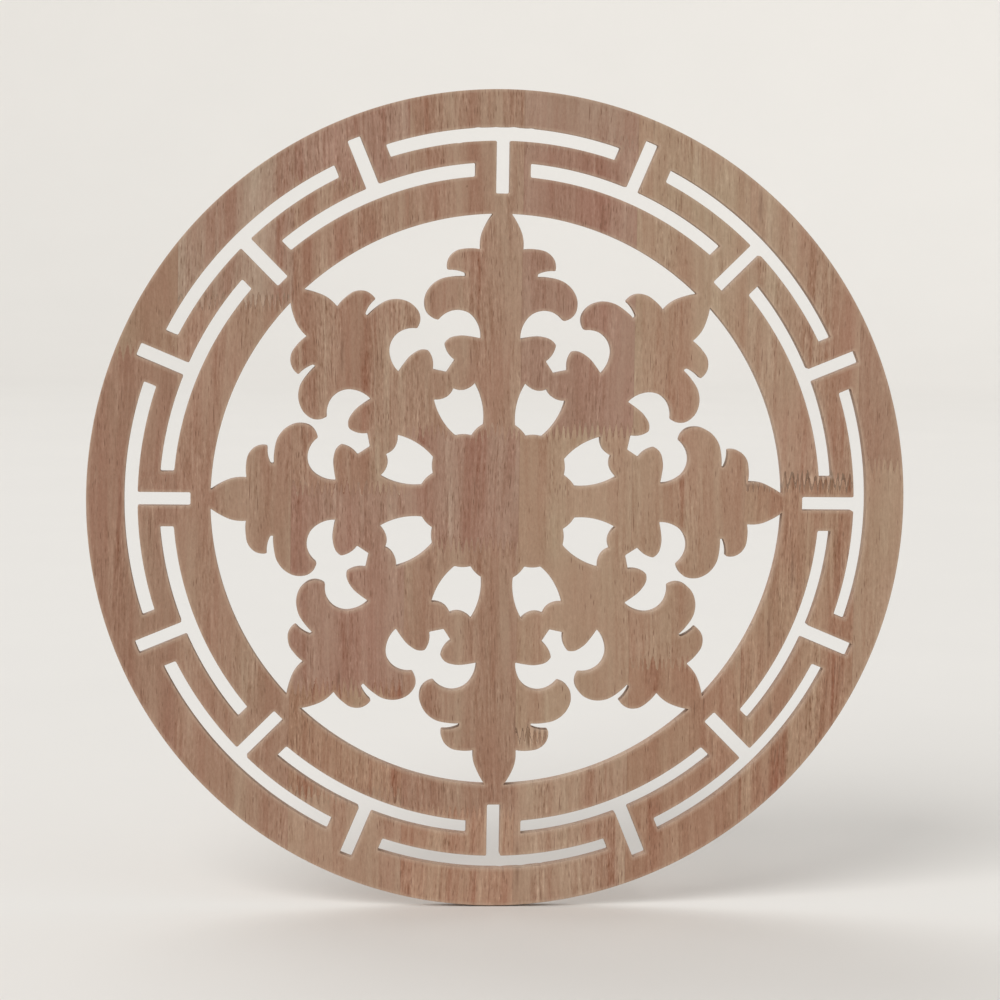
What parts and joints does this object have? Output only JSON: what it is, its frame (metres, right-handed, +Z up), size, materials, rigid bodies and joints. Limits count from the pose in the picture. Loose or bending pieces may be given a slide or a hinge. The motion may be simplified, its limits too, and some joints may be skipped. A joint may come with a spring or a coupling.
{
  "type": "round openwork wood applique",
  "caption": "Flat round fretwork panel of bare jointed hardwood, with pointed leaves round a hub and a key-pattern ring; hung or fixed by its flat back.",
  "frame": {"origin": "middle of the flat back face, which goes against the wall", "axes": "+Y out of the back, into the wall, so that the panel faces -Y; +Z up along one leaf; +X along another"},
  "size_m": [0.4, 0.008, 0.4],
  "materials": {
    "rubberwood": "sanded, unfinished"
  },
  "bodies": {
    "root": {"fretwork_panel": "rubberwood"}
  },
  "joints": []
}
